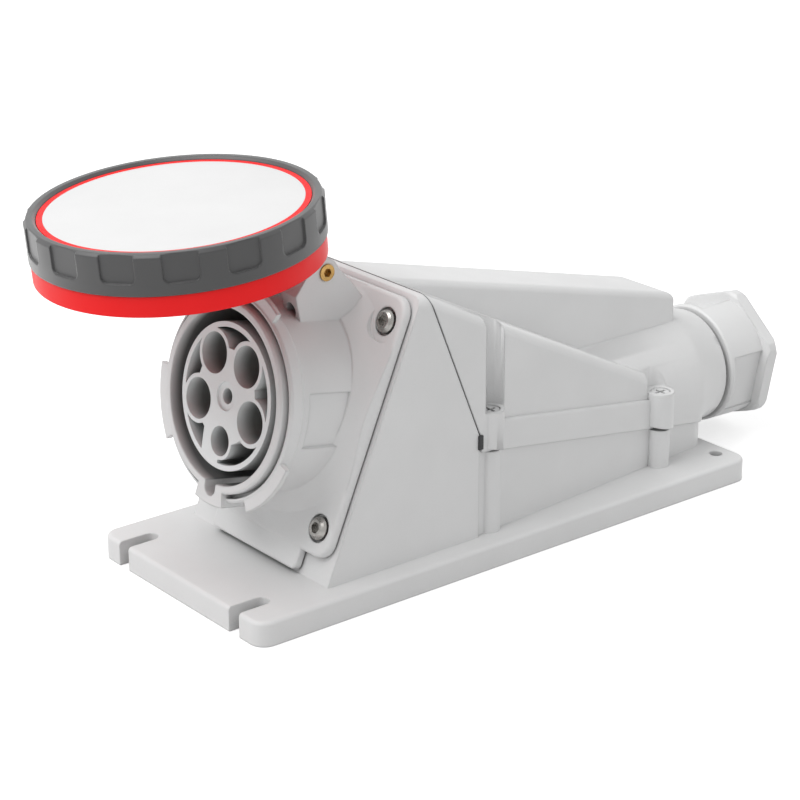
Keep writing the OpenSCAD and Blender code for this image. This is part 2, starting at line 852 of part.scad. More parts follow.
// Cove from the flange up to the collar's neck, cut off along the flange's edges
module collar_flare() {
    foot = flange_t / 2;
    at_flange() translate([0, 0, flange_gap]) intersection() {
        translate([0, flare_v, 0]) rotate_extrude() difference() {
            translate([0, foot]) square([flare_r, flange_t - foot + flare_h]);
            translate([flare_r, flange_t - flare_sink + cove_r]) circle(cove_r);
        }
        linear_extrude(flange_t + 2 * flare_h) rounded_rect(flange_w - 2 * flare_inset,
            flange_h - 2 * flare_inset, flange_corner_r - flare_inset);
    }
}

// Tongue below the flange, over the foot of the frame
module flange_tongue() {
    l = tongue_l + 2 * flange_corner_r;
    at_flange() translate([0, l / 2 - flange_h / 2 - tongue_l, flange_gap])
        soft_slab(tongue_w, l, flange_t - tongue_step, tongue_corner_r, tongue_edge_r);
}

// Hinge lug, in side view about the hinge axis: [up the face, out along the axis]
module lug_side() {
    circle(hinge_r);
    polygon(concat(lug_front, [[hinge_r / 2, -hinge_r * 0.8]], lug_back));
}

module hinge_lugs() {
    lug_w = lug_outer_x - lug_inner_x;
    mirrored() translate([(lug_inner_x + lug_outer_x) / 2, 0, 0]) difference() {
        across(lug_w) lug_side();
        translate([0, lug_recess_up, 0]) rod(lug_w / 2 - lug_recess_wall, lug_recess_floor, socket_reach);
    }
}

module socket_flange() {
    color(housing_colour) difference() {
        union() {
            at_flange() translate([0, 0, flange_gap])
                soft_slab(flange_w, flange_h, flange_t, flange_corner_r, flange_edge_r);
            flange_tongue();
            difference() {
                collar_flare();
                at_flange_screws() rod(spotface_r, flange_gap + flange_t, shroud_depth);
            }
            difference() {
                union() {
                    at_socket() collar_turning();
                    collar_neck();
                }
                at_socket() for (a = [0, 180])
                    sector(collar_neck_r - grip_depth, collar_neck_r + 2, grip_span, a, grip_back, grip_front);
            }
            at_socket() {
                for (a = collar_lug_angles)
                    sector(collar_lug_root_r, collar_lug_r, collar_lug_span, a,
                        collar_lug_back, collar_lug_front);
                sector(collar_r + 2, keyway_boss_r, keyway_boss_span, -90, keyway_boss_back, 0);
            }
            at_hinge() hinge_lugs();
        }
        at_socket() {
            rod(collar_r, -shroud_depth + cut, cut);
            rod(stop_r, -shroud_depth - cut, 0);
            rod(collar_r, neck_back - cut, -shroud_depth);
            translate([-keyway_w / 2, -keyway_r + keyway_w / 2, -shroud_depth + cut])
                cube([keyway_w, keyway_r / 2, shroud_depth]);
            translate([0, -keyway_r + keyway_w / 2, 0]) rod(keyway_w / 2, -shroud_depth + cut, cut);
        }
        at_hinge() rotate([0, 90, 0]) rod(hinge_pin_d / 2 + run_gap, -hinge_pin_l, hinge_pin_l);
        at_flange_screws() {
            rod(counterbore_r, counterbore_floor, 2 * shroud_depth);
            rod(flange_screw_r + seat_gap, 0, 2 * shroud_depth);
        }
    }
}

module flange_gasket() {
    inset = 3;
    color(rubber_colour) difference() {
        at_flange() linear_extrude(flange_gap)
            rounded_rect(flange_w - inset, flange_h - inset, flange_corner_r - inset / 2);
        at_socket() rod(spigot_r + seat_gap, 2 * collar_end, 0);
        at_flange_screws() rod(flange_screw_r + seat_gap, -cut, flange_gap + cut);
    }
}

module flange_screws() {
    head_r = screw_head_d / 2;
    color(steel_colour) at_flange_screws() translate([0, 0, counterbore_floor]) difference() {
        union() {
            rotate_extrude() polygon([
                [0, 0], [head_r, 0], [head_r, screw_head_h * 0.55], [head_r - 0.7, screw_head_h * 0.8],
                [head_r - 1.8, screw_head_h], [0, screw_head_h]
            ]);
            rod(flange_screw_r - 0.1, 1 - flange_screw_l, 0);
        }
        translate([0, 0, screw_head_h - 2.6]) cylinder(r = screw_key_r, h = 4, $fn = 6);
    }
}

// Dished pockets between the wells: the face's ring less the well walls and the earth pad
module insert_pockets() {
    linear_extrude(pocket_depth + cut) difference() {
        circle(insert_r - insert_rim);
        circle(hub_r);
        for (a = live_angles) translate(on_pcd(a)) circle(well_r + well_wall);
        translate(on_pcd(earth_angle)) circle(earth_pin_d / 2 + well_wall);
        translate([-earth_pad_w, -insert_r]) square([earth_pad_w, insert_r]);
    }
}

module contact_insert() {
    color(insert_colour) at_socket() difference() {
        union() {
            rod(insert_r, insert_base_front - cut, insert_front);
            rod(insert_base_r, insert_base_back, insert_base_front);
            rod(insert_back_r, insert_back, insert_base_back);
        }
        translate([0, 0, insert_front - pocket_depth]) insert_pockets();
        for (a = live_angles) translate(on_pcd(a)) {
            rod(well_r, insert_front - live_depth, cut);
            rod(live_pin_d / 2 + contact_wall + run_gap, insert_back - cut, insert_front - live_depth + cut);
        }
        translate(on_pcd(earth_angle)) {
            rod(earth_pin_d / 2 + 0.2, insert_back - cut, cut);
            rod(earth_pin_d / 2 + contact_wall + run_gap, insert_back - cut, insert_front - earth_depth);
        }
        rod(pilot_dish_r, insert_front - pilot_dish_depth, cut);
        rod(pilot_pin_d / 2 + 0.5, insert_back - cut, cut);
        rod(pilot_pin_d / 2 + contact_wall / 2 + run_gap, insert_back - cut, insert_front - pilot_depth);
    }
}

module insert_retainer() {
    color(insert_colour) at_socket()
        tube(insert_back_r + seat_gap, insert_base_r, retainer_back, insert_base_back);
}

// Turned contact: a sleeve for the pin in front, a clamp hole for the wire behind
module contact(pin_d, wall, front, back, place, screw_angle) {
    color(brass_colour) at_socket() translate(place) difference() {
        rod(pin_d / 2 + wall, back, front);
        rod(pin_d / 2, front - contact_bore, front + cut);
        rod(pin_d / 2, back - cut, back + terminal_hole);
        rotate(screw_angle) translate([0, 0, back + terminal_up])
            rotate([0, 90, 0]) rod(terminal_screw_r * pin_d / live_pin_d, 0, pin_d);
    }
}

module live_contact(i) {
    contact(live_pin_d, contact_wall, insert_front - live_depth, contact_back,
        on_pcd(live_angles[i]), live_angles[i]);
}

module earth_contact() {
    contact(earth_pin_d, contact_wall, insert_front - earth_depth, contact_back,
        on_pcd(earth_angle), earth_angle);
}

module pilot_contact() {
    contact(pilot_pin_d, contact_wall / 2, insert_front - pilot_depth, contact_back, [0, 0, 0], 90);
}

// Clamp screw of one contact, set in its side
module terminal_screw(pin_d, wall, place, angle) {
    r = terminal_screw_r * pin_d / live_pin_d - run_gap;
    at_socket() translate(place) rotate(angle) translate([0, 0, terminal_z]) rotate([0, 90, 0])
        difference() {
            rod(r, pin_d / 4, pin_d / 2 + wall + 1.5);
            translate([-r, -r / 5, pin_d / 2 + wall]) cube([2 * r, r * 2 / 5, 2]);
        }
}

module terminal_screws() {
    color(steel_colour) {
        for (a = live_angles) terminal_screw(live_pin_d, contact_wall, on_pcd(a), a);
        terminal_screw(earth_pin_d, contact_wall, on_pcd(earth_angle), earth_angle);
        terminal_screw(pilot_pin_d, contact_wall / 2, [0, 0, 0], 90);
    }
}

module gland_seal() {
    color(rubber_colour) at_gland() rotate_extrude() polygon([
        [cable_r, seal_seat_y], [neck_bore_r - run_gap, seal_seat_y], [neck_bore_r - run_gap, thread_end_y],
        [thread_r - 1, thread_end_y], [thread_r - 1, thread_end_y + seal_lip],
        [cable_r, thread_end_y + seal_lip]
    ]);
}

module gland_washer() {
    color(housing_colour) at_gland()
        tube(cable_r + 0.5, thread_r - 1, thread_end_y + seal_lip, washer_end_y);
}

// Gland nut: a grip with three sunk flats, and a hexagon flange at its end
module gland_nut() {
    color(housing_colour) at_gland() difference() {
        union() {
            difference() {
                rotate_extrude() polygon([
                    [0, nut_front_y], [nut_front_r - nut_edge, nut_front_y],
                    [nut_front_r, nut_front_y + nut_edge],
                    [nut_rear_r, nut_flange_y], [nut_rear_r, nut_flange_y + cut], [0, nut_flange_y + cut]
                ]);
                for (a = nut_flat_angles) rotate(a)
                    translate([nut_flat_x, -nut_flat_w / 2, nut_front_y + nut_lead])
                        cube([nut_rear_r, nut_flat_w, nut_l]);
            }
            intersection() {
                rotate(nut_hex_turn) translate([0, 0, nut_flange_y])
                    cylinder(d = nut_flats / cos(30), h = nut_flange_t, $fn = 6);
                rotate_extrude() polygon([
                    [0, nut_flange_y], [nut_corner_r - nut_corner_chamfer, nut_flange_y],
                    [nut_corner_r, nut_flange_y + nut_corner_chamfer], [nut_corner_r, nut_end_y - nut_edge],
                    [nut_corner_r - nut_edge, nut_end_y], [0, nut_end_y]
                ]);
            }
        }
        rod(thread_r + seat_gap, nut_front_y - cut, washer_end_y + seat_gap);
        rod(cable_r + 1, nut_front_y, nut_end_y + cut);
    }
}

module hinge_pin() {
    color(brass_colour) at_hinge() rotate([0, 90, 0]) difference() {
        rod(hinge_pin_d / 2, -hinge_pin_l / 2, hinge_pin_l / 2);
        for (s = [0, 1]) mirror([0, 0, s]) translate([0, 0, hinge_pin_l / 2 - pin_key_depth])
            cylinder(r = pin_key_r, h = pin_key_depth + cut, $fn = 6);
    }
}

module hinge_washers() {
    color(rubber_colour) at_hinge() mirrored() rotate([0, 90, 0])
        tube(hinge_pin_d / 2 + run_gap, hinge_r - 0.5, knuckle_w / 2 + washer_gap, lug_inner_x - washer_gap);
}

// Lid cap: the roof under the disc, the wall that guides the ring and the seal's ribs
module lid_cap() {
    roof = face_top - cap_roof;
    color(lid_colour) at_lid() difference() {
        union() {
            rod(cap_edge_r, face_top - cap_lip, face_top);
            rod(cap_wall_r, cap_wall_end, face_top);
        }
        rod(disc_d / 2, face_top - disc_t, face_top + cut);
        difference() {
            rod(cap_wall_inner_r, cap_wall_end - cut, roof);
            tube(seal_inner_r - seal_rib, seal_inner_r, seal_rib_end, roof + cut);
            tube(seal_outer_r, seal_outer_r + seal_rib, seal_rib_end, roof + cut);
        }
        for (a = ring_lug_angles)
            sector(cap_wall_inner_r - 2, cap_edge_r + 2, ring_lug_span + ring_turn + 2 * window_margin,
                a - ring_turn / 2, cap_wall_end - cut, ring_lug_front + seat_gap);
    }
}

module knuckle_side() {
    circle(hinge_r);
    polygon([
        [-hinge_r, 0], [-5.5, hinge_back + lid_bottom + 2], [2, hinge_back + lid_bottom + 2],
        [hinge_r, 0]
    ]);
}

// Coloured band at the lid's foot, with the hinge knuckle
module lid_band() {
    color(lid_colour) at_lid() difference() {
        union() {
            tube(cap_wall_inner_r, band_r, lid_bottom, cap_wall_end);
            tube(band_inner_r, band_r, lid_bottom, ring_bottom - seat_gap);
            translate([0, hinge_rise, -hinge_back]) across(knuckle_w) knuckle_side();
        }
        translate([0, hinge_rise, -hinge_back]) rotate([0, 90, 0])
            rod(hinge_pin_d / 2 + run_gap, -knuckle_w, knuckle_w);
    }
}

module lid_disc() {
    color("white") at_lid() rod(disc_d / 2 - run_gap, face_top - disc_t, face_top);
}

module lid_gasket() {
    color(rubber_colour) at_lid()
        tube(seal_inner_r + run_gap, seal_outer_r - run_gap, seat_gap, face_top - cap_roof);
}

// Finger recess in the ring's grip, open at the top, cut from the outside
module scallop() {
    top = ring_h + cut;
    translate([ring_r - scallop_depth, 0, ring_bottom]) rotate([90, 0, 90])
    linear_extrude(2 * scallop_depth) {
        translate([-scallop_w / 2, scallop_foot + scallop_corner_r])
            square([scallop_w, top - scallop_foot - scallop_corner_r]);
        translate([-scallop_w / 2 + scallop_corner_r, scallop_foot])
            square([scallop_w - 2 * scallop_corner_r, top - scallop_foot]);
        for (s = [-1, 1])
            translate([s * (scallop_w / 2 - scallop_corner_r), scallop_foot + scallop_corner_r])
                circle(scallop_corner_r);
    }
}

module bayonet_ring() {
    seat_r = cap_edge_r + seat_gap;
    seat_z = face_top - cap_lip - seat_gap;
    color(ring_colour) at_lid() {
        difference() {
            rotate_extrude() polygon([
                [ring_inner_r, ring_skirt_end], [ring_skirt_r, ring_skirt_end], [ring_skirt_r, ring_bottom],
                [ring_r, ring_bottom], [ring_r, lid_top - ring_edge], [ring_r - ring_edge, lid_top],
                [seat_r + ring_lip, lid_top], [seat_r, face_top], [seat_r, seat_z], [ring_inner_r, seat_z]
            ]);
            for (i = [0 : scallops - 1]) rotate(scallop_turn + i * 360 / scallops) scallop();
        }
        for (a = ring_lug_angles)
            sector(ring_lug_r, ring_inner_r + 1, ring_lug_span, a, ring_lug_back, ring_lug_front);
    }
}

base();
rear_cover();
cover_gasket();
cover_screws();
socket_flange();
flange_gasket();
flange_screws();
contact_insert();
insert_retainer();
live_contact(0);  // live_contact_1
live_contact(1);  // live_contact_2
live_contact(2);  // live_contact_3
live_contact(3);  // neutral_contact
earth_contact();
pilot_contact();
terminal_screws();
gland_seal();
gland_washer();
gland_nut();
hinge_pin();
hinge_washers();
lid_cap();
lid_band();
lid_disc();
lid_gasket();
bayonet_ring();
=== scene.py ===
import json
import math

import bmesh
import bpy
from bpy.props import FloatProperty, FloatVectorProperty, PointerProperty
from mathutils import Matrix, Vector


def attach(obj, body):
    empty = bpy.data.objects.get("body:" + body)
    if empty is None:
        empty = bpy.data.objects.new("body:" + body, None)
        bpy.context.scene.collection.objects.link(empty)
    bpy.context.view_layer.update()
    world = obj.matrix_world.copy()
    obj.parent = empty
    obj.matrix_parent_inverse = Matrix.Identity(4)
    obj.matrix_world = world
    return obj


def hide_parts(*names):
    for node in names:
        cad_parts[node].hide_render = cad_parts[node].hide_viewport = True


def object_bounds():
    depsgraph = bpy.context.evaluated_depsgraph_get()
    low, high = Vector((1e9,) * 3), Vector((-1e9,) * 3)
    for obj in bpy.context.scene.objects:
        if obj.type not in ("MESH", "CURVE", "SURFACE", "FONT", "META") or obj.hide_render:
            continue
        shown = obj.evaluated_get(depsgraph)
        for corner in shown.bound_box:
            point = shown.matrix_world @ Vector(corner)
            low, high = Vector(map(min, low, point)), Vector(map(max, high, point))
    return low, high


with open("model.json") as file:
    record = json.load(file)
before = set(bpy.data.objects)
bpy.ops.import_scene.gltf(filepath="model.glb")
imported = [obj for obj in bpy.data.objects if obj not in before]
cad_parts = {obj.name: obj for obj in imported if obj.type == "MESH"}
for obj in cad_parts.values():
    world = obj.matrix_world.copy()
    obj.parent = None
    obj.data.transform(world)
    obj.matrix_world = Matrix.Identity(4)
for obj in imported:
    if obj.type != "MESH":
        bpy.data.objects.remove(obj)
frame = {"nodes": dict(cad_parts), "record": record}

bl_info = {
    "name": "Angled surface mount socket",
    "version": (1, 0, 0),
    "blender": (4, 5, 0),
    "location": "View3D > Sidebar > Socket",
    "description": "Dresses the angled power socket with its moulded, turned and rubber finishes",
    "category": "Object",
}

# Box of the solids before they are dressed
CAD_BOX = [list(corner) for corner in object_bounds()]

# Socket's face, in metres: the pilot contact gives its centre and axis
PILOT = next(m for m in frame["record"]["mounts"] if m["name"] == "pilot_contact_bore")
COLLAR_BORE_R = 0.0424
COLLAR_BORE_BLEND = 0.0006
MOUTH_REACH = 0.0372

# Depths below the mouth between which painted shade darkens the collar and the insert
COLLAR_SHAFT_SHADE = (0.0003, 0.006)
INSERT_SHAFT_SHADE = (0.0035, 0.012)

# Sloping top of the cover's rim: its front as (Y, Z) in metres and its fall
RIM_FRONT = (-0.020, 0.0734)
RIM_FALL = math.tan(math.radians(10.2))

# Roof of the cover's tunnel: half its width, its ends as (Y, Z) in metres and its fall
TUNNEL_HALF_W = 0.020
TUNNEL_FRONT = (-0.0508, 0.1436)
TUNNEL_REAR = (0.1465, 0.0951)
TUNNEL_FALL = (TUNNEL_FRONT[1] - TUNNEL_REAR[1]) / (TUNNEL_REAR[0] - TUNNEL_FRONT[0])

# Tolerances for the rounded copy of the cover
SNAP = 0.0002
WELD = 0.00001
FLAT_ANGLE = math.radians(0.4)
CORNER_ANGLE = math.radians(30)
ROUNDING_STEPS = 4
LARGE_FACE_WEIGHT = 100

# Black rubber end of the gasket on the right side, a dark block that also stands in for the shade in the
# seam's slot: centre and size in metres
SEAM_END = (0.0555, -0.0196, 0.0627)
SEAM_END_SIZE = (0.0022, 0.0028, 0.0074)
SEAM_END_RADIUS = SEAM_END_SIZE[0] / 6
SEAM_END_STEPS = 3

# Noise scales of the finishes, in waves per metre
CLOUD_SCALE = 26
WAVE_SCALE = 45
PATCH_SCALE = 60
SPECKLE_SCALE = 900
BLOOM_SCALE = 90
RUBBER_PATCH_SCALE = 140
RUBBER_GRAIN = 1400
STAIN_SCALE = 220
METAL_PATCH_SCALE = 500
TURNING_SCALE = 2600
TURNING_STRETCH = (1, 0.15, 0.15)
FLOOR_MOTTLE_SCALE = 6

# Relief of the finishes: strength, and depth in metres
WAVE_RELIEF = (0.25, 0.00012)
GRAIN_STRENGTH = 0.5
RUBBER_RELIEF = (0.6, 0.00006)
TURNING_RELIEF = (0.35, 0.00002)

# Roughness of the rubber, and how far the roughness of plastic and metal strays
RUBBER_ROUGHNESS = (0.62, 0.8)
PLASTIC_STRAY = 0.05
METAL_STRAY = (-0.08, 0.1)

# Shades of a finish's colour: its own, with painted shade in recesses and on undersides and painted
# highlight with wear on edges
CLOUD_SHADES = (0.975, 1.02)
SPECKLE_SHADE = 0.95
EDGE_HIGHLIGHT_AND_WEAR = 1.07
PAINTED_RECESS_SHADE = 0.25
LID_UNDERSIDE_PAINTED_SHADE = 0.5
BLOOM_SHADE = 2.2
BRASS_DULL_SHADE = 0.62
STEEL_DULL_SHADE = 0.72
FLOOR_SHADES = (0.99, 1.01)

# Parts of the noise and the most of a surface that speckle and stain take
SPECKLE_SPAN = (0.55, 0.8)
SPECKLE_SHARE = 0.35
STAIN_SPAN = (0.35, 0.75)

# Edges: how alike the rounded and the plain normal are on one and off it, and how much of it is pale with
# painted highlight and wear
EDGE_SAMPLES = 6
EDGE_LIKENESS = (0.75, 0.99)
EDGE_SHARE = 0.5

# Painted shade in recesses, from ambient occlusion: how far one is looked for, in metres, and how open it
# is at its darkest and at its palest
RECESS_SAMPLES = 8
RECESS_REACH = 0.024
RECESS_OPENNESS = (0.02, 0.3)

# Painted shade on undersides: how far a face looks down where an underside starts and where it is whole
UNDERSIDE_SPAN = (0.4, 0.8)

# Colour sockets of the mix node
MIX_COLOURS = (6, 7)
MIX_RESULT = 2

# Studio, in metres, with the sensor in millimetres
SENSOR_W = 36.0
CLIP_END = 50
KEY_OFFSET = (-0.15, -0.75, 1.22)
KEY_SIZE = 1.2
SIDE_DISTANCE = 1.25
SIDE_HEIGHT = 0.35
SIDE_SIZE = 0.8
FLOOR_REACH = 6.0
FLOOR_DROP = 0.0002
FLOOR_LIFT = 0.62


# Sizes and colours that a user would change


class HousingLook(bpy.types.PropertyGroup):
    """Pale moulded housing: base, cover, flange, gland and insert"""

    colour: FloatVectorProperty(
        name="Housing colour", description="Colour of the moulded housing",
        subtype="COLOR", size=3, min=0, max=1, default=(0.735, 0.737, 0.737),
    )
    insert_colour: FloatVectorProperty(
        name="Insert colour", description="Colour of the contact insert",
        subtype="COLOR", size=3, min=0, max=1, default=(0.82, 0.845, 0.845),
    )
    edge_radius: FloatProperty(
        name="Edge radius", description="Rounding of the moulded edges",
        unit="LENGTH", min=0.0001, max=0.003, default=0.0013,
    )
    fine_edge_radius: FloatProperty(
        name="Fine edge radius", description="Rounding of the insert's edges",
        unit="LENGTH", min=0.0001, max=0.002, default=0.0004,
    )
    rim_radius: FloatProperty(
        name="Rim radius", description="Rounding of the cover rim's upper edge",
        unit="LENGTH", min=0.0005, max=0.0021, default=0.0019,
    )
    tunnel_radius: FloatProperty(
        name="Tunnel radius", description="Rounding of the tunnel roof's edges",
        unit="LENGTH", min=0.0005, max=0.006, default=0.0038,
    )
    roughness: FloatProperty(
        name="Roughness", description="Roughness of the moulded surface",
        subtype="FACTOR", min=0, max=1, default=0.46,
    )


class LidLook(bpy.types.PropertyGroup):
    """Hinged lid: red cap and band, grey bayonet ring and white disc"""

    colour: FloatVectorProperty(
        name="Lid colour", description="Colour of the cap and the band",
        subtype="COLOR", size=3, min=0, max=1, default=(0.92, 0.011, 0.013),
    )
    ring_colour: FloatVectorProperty(
        name="Ring colour", description="Colour of the bayonet ring",
        subtype="COLOR", size=3, min=0, max=1, default=(0.046, 0.046, 0.047),
    )
    disc_colour: FloatVectorProperty(
        name="Disc colour", description="Colour of the disc on the lid",
        subtype="COLOR", size=3, min=0, max=1, default=(0.68, 0.68, 0.68),
    )
    edge_radius: FloatProperty(
        name="Edge radius", description="Rounding of the cap's and the band's edges, half of the ring's",
        unit="LENGTH", min=0.0001, max=0.002, default=0.0006,
    )


class TrimLook(bpy.types.PropertyGroup):
    """Rubber, brass and steel trim"""

    rubber_colour: FloatVectorProperty(
        name="Rubber colour", description="Colour of the seals and washers",
        subtype="COLOR", size=3, min=0, max=1, default=(0.018, 0.018, 0.019),
    )
    brass_colour: FloatVectorProperty(
        name="Brass colour", description="Colour of the contacts and the hinge pin",
        subtype="COLOR", size=3, min=0, max=1, default=(0.6, 0.37, 0.13),
    )
    steel_colour: FloatVectorProperty(
        name="Steel colour", description="Colour of the screws",
        subtype="COLOR", size=3, min=0, max=1, default=(0.38, 0.37, 0.352),
    )
    edge_radius: FloatProperty(
        name="Edge radius", description="Rounding of the metal's and the rubber's edges",
        unit="LENGTH", min=0.0001, max=0.001, default=0.0003,
    )


class StudioLook(bpy.types.PropertyGroup):
    """Camera, lamps and floor"""

    azimuth: FloatProperty(
        name="Azimuth", description="Camera's turn about the vertical, from the front",
        subtype="ANGLE", default=math.radians(51.06),
    )
    elevation: FloatProperty(
        name="Elevation", description="Camera's height above the horizon",
        subtype="ANGLE", default=math.radians(20.95),
    )
    lens: FloatProperty(
        name="Lens", description="Focal length in millimetres on a 36 mm sensor",
        unit="CAMERA", min=20, max=300, default=104.8,
    )
    camera_place: FloatVectorProperty(
        name="Camera place", description="Where the camera stands",
        subtype="TRANSLATION", unit="LENGTH", size=3, default=(0.8445, -0.7071, 0.4851),
    )
    key_power: FloatProperty(
        name="Key power", description="Power of the large lamp above the front",
        unit="POWER", min=0, max=200, default=17.5,
    )
    side_power: FloatProperty(
        name="Side power", description="Power of the low lamp to the right of the view",
        unit="POWER", min=0, max=200, default=1.5,
    )
    sky_level: FloatProperty(
        name="Sky level", description="Even light from all round",
        min=0, max=2, default=0.55,
    )
    floor_colour: FloatVectorProperty(
        name="Floor colour", description="Colour of the floor",
        subtype="COLOR", size=3, min=0, max=1, default=(0.7, 0.7, 0.7),
    )


# Shader helpers


def start_material(name):
    """New material with its node tree and the shader that the rest feeds"""
    material = bpy.data.materials.new(name)
    material.use_nodes = True
    tree = material.node_tree
    shader = next(n for n in tree.nodes if n.type == "BSDF_PRINCIPLED")
    return material, tree, shader


def noise(tree, scale, detail=2.0, roughness=0.5, stretch=None):
    """Noise of about 1/scale metres in the piece's own frame, drawn out by stretch along X, Y and Z"""
    texture = tree.nodes.new("ShaderNodeTexNoise")
    texture.inputs["Scale"].default_value = scale
    texture.inputs["Detail"].default_value = detail
    texture.inputs["Roughness"].default_value = roughness
    place = tree.nodes.new("ShaderNodeTexCoord").outputs["Object"]
    if stretch:
        mapping = tree.nodes.new("ShaderNodeMapping")
        mapping.inputs["Scale"].default_value = stretch
        tree.links.new(place, mapping.inputs["Vector"])
        place = mapping.outputs["Vector"]
    tree.links.new(place, texture.inputs["Vector"])
    return texture.outputs["Fac"]


def spread(tree, value, low, high, start=0.3, end=0.7):
    """Maps a value's range from start to end onto low to high; the defaults suit noise"""
    node = tree.nodes.new("ShaderNodeMapRange")
    node.inputs["From Min"].default_value = start
    node.inputs["From Max"].default_value = end
    node.inputs["To Min"].default_value = low
    node.inputs["To Max"].default_value = high
    tree.links.new(value, node.inputs["Value"])
    return node.outputs["Result"]


def feed(tree, socket, value):
    """Sets a socket from another node's output or from a fixed value"""
    if isinstance(value, bpy.types.NodeSocket):
        tree.links.new(value, socket)
    else:
        socket.default_value = value


def shade(colour, factor):
    """Lighter or darker version of a colour"""
    return tuple(min(1.0, c * factor) for c in colour)


def blend_colours(tree, factor, first, second):
    """Mix of two colours, where each is a colour or another node's output"""
    node = tree.nodes.new("ShaderNodeMix")
    node.data_type = "RGBA"
    tree.links.new(factor, node.inputs["Factor"])
    for index, value in zip(MIX_COLOURS, (first, second)):
        feed(tree, node.inputs[index], (*value, 1) if isinstance(value, tuple) else value)
    return node.outputs[MIX_RESULT]


def combine(tree, operation, first, second):
    """Result of an operation on two numbers"""
    node = tree.nodes.new("ShaderNodeMath")
    node.operation = operation
    tree.links.new(first, node.inputs[0])
    tree.links.new(second, node.inputs[1])
    return node.outputs["Value"]


def combine_vectors(tree, operation, first, *second):
    """Outputs of an operation on one vector, or on two where the second is an output or fixed"""
    node = tree.nodes.new("ShaderNodeVectorMath")
    node.operation = operation
    for socket, value in zip(node.inputs, (first, *second)):
        feed(tree, socket, value)
    return node.outputs


def rounded_normal(tree, radius):
    """Normal that turns smoothly over edges, as on a moulded rounding of this radius"""
    node = tree.nodes.new("ShaderNodeBevel")
    node.samples = EDGE_SAMPLES
    node.inputs["Radius"].default_value = radius
    return node.outputs["Normal"]


def edge_share(tree, rounded):
    """Near one on rounded edges, zero on open faces"""
    plain = tree.nodes.new("ShaderNodeNewGeometry").outputs["Normal"]
    likeness = combine_vectors(tree, "DOT_PRODUCT", rounded, plain)["Value"]
    return spread(tree, likeness, 1, 0, *EDGE_LIKENESS)


def recess_share(tree):
    """Mask of painted shade: near one deep in gaps and pockets, zero on open faces"""
    node = tree.nodes.new("ShaderNodeAmbientOcclusion")
    node.samples = RECESS_SAMPLES
    node.inputs["Distance"].default_value = RECESS_REACH
    return spread(tree, node.outputs["AO"], 1, 0, *RECESS_OPENNESS)


def underside_share(tree):
    """Mask of painted shade: one on faces that look down in the piece's own frame, zero on the rest"""
    normal = tree.nodes.new("ShaderNodeTexCoord").outputs["Normal"]
    downward = combine_vectors(tree, "DOT_PRODUCT", normal, (0, 0, -1))["Value"]
    return spread(tree, downward, 0, 1, *UNDERSIDE_SPAN)


def shaft_share(tree, start, end):
    """Mask of painted shade down the socket: zero at a depth of start below the socket's mouth, one at
    end, and zero outside the collar's bore
    """
    place = tree.nodes.new("ShaderNodeNewGeometry").outputs["Position"]
    from_pilot = combine_vectors(tree, "SUBTRACT", place, PILOT["pos_m"])["Vector"]
    along = combine_vectors(tree, "DOT_PRODUCT", from_pilot, PILOT["axis"])["Value"]
    across = combine_vectors(tree, "CROSS_PRODUCT", from_pilot, PILOT["axis"])["Vector"]
    radius = combine_vectors(tree, "LENGTH", across)["Value"]
    inside = spread(tree, radius, 1, 0, COLLAR_BORE_R, COLLAR_BORE_R + COLLAR_BORE_BLEND)
    depth = spread(tree, along, 0, 1, MOUTH_REACH - start, MOUTH_REACH - end)
    return combine(tree, "MULTIPLY", inside, depth)


def bump(tree, shader, rounded, *layers):
    """Stacks bump layers of (height, strength, depth in metres) on a rounded normal"""
    normal = rounded
    for height, strength, depth in layers:
        node = tree.nodes.new("ShaderNodeBump")
        node.inputs["Strength"].default_value = strength
        node.inputs["Distance"].default_value = depth
        tree.links.new(height, node.inputs["Height"])
        tree.links.new(normal, node.inputs["Normal"])
        normal = node.outputs["Normal"]
    tree.links.new(normal, shader.inputs["Normal"])


# Finishes


